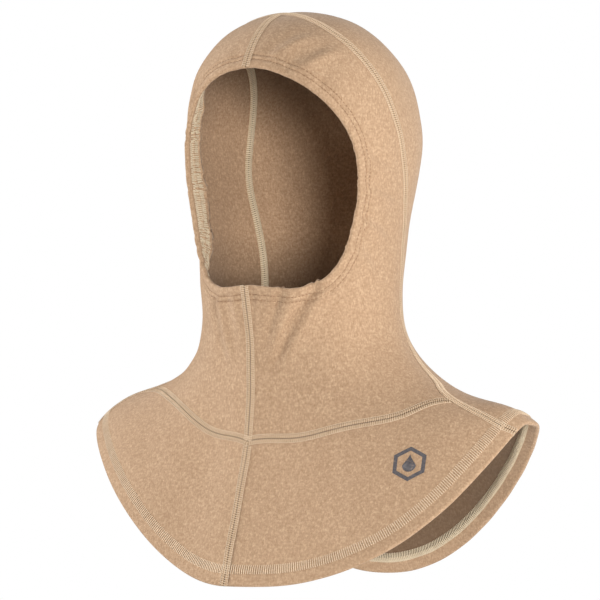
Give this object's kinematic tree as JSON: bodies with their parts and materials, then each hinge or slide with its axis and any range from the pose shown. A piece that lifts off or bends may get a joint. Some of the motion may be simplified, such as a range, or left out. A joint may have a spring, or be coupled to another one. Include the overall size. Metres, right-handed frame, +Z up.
{
  "type": "balaclava",
  "caption": "Knitted protective balaclava with an elastic-edged face opening, flat seams and a shaped cape over the shoulders.",
  "frame": {"origin": "top of the crown on the outside, where the hood rests on the wearer's head", "axes": "+Z up, the wearer faces -Y and the wearer's left is +X"},
  "size_m": [0.368, 0.226, 0.4206],
  "materials": {
    "knit_fabric": "matte heathered knit",
    "elastic_tape": "woven elastic",
    "cream_thread": "matte spun thread",
    "tonal_thread": "matte spun thread",
    "grey_thread": "matte spun thread",
    "yellow_thread": "matte aramid thread",
    "print_ink": "flat printed ink",
    "label_satin": "smooth satin"
  },
  "bodies": {
    "root": {"back_panel": "knit_fabric", "bib_panel_left": "knit_fabric", "bib_panel_right": "knit_fabric", "bib_seam_cover": "cream_thread", "bib_seam_looper": "cream_thread", "care_label": "label_satin", "chin_seam_cover": "cream_thread", "chin_seam_looper": "cream_thread", "crown_seam_cover": "cream_thread", "crown_seam_looper": "cream_thread", "face_cover_stitch": "tonal_thread", "face_edge_thread": "yellow_thread", "face_elastic": "elastic_tape", "face_looper_stitch": "grey_thread", "front_panel_left": "knit_fabric", "front_panel_right": "knit_fabric", "hem_cover_stitch": "cream_thread", "hem_looper_stitch": "cream_thread", "neck_seam_cover": "cream_thread", "neck_seam_looper": "cream_thread", "print_mark": "print_ink", "side_seam_left_cover": "cream_thread", "side_seam_left_looper": "cream_thread", "side_seam_right_cover": "cream_thread", "side_seam_right_looper": "cream_thread"}
  },
  "joints": []
}
